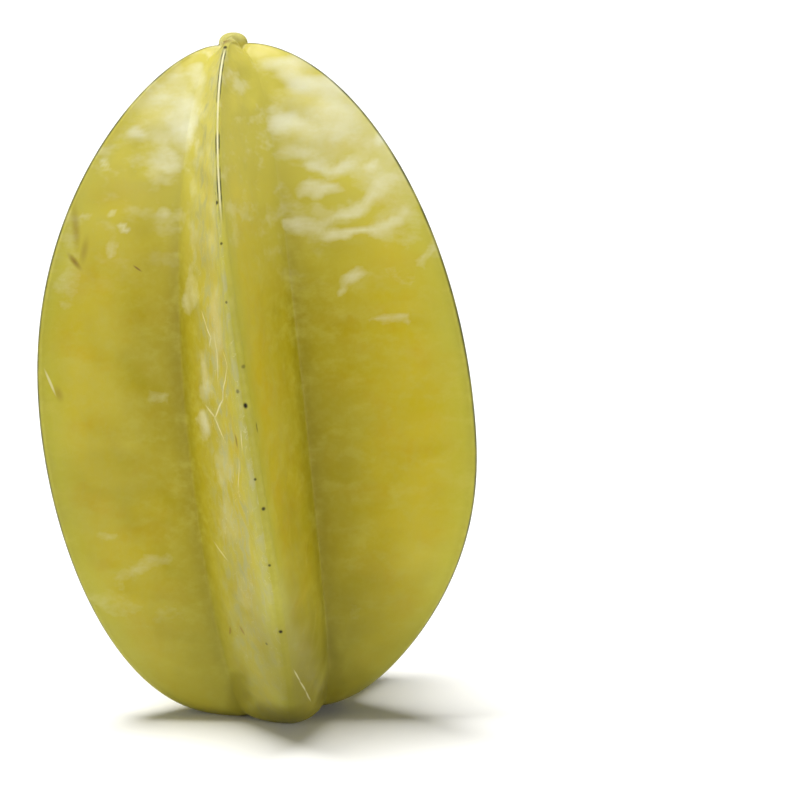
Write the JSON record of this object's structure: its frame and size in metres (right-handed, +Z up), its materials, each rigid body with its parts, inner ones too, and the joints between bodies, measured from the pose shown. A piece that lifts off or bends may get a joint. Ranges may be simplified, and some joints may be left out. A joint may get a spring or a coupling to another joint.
{
  "type": "star fruit",
  "caption": "Whole star fruit standing upright on its stem end, with deep rounded ribs along its length that give a star-shaped section.",
  "frame": {"origin": "middle of the fruit's box, on the surface that its ribs' lower ends stand on", "axes": "+Z up along the fruit from the stem end to the flower end, -Y towards the front rib, +X to the right of it"},
  "size_m": [0.0692, 0.0658, 0.1091],
  "materials": {
    "fruit_skin": "thin waxy fruit skin, yellow-green, satin gloss, slightly translucent",
    "dry_stem": "dry brown stem, matt"
  },
  "bodies": {
    "root": {"fruit_body": "fruit_skin", "stem_stub": "dry_stem"}
  },
  "joints": []
}
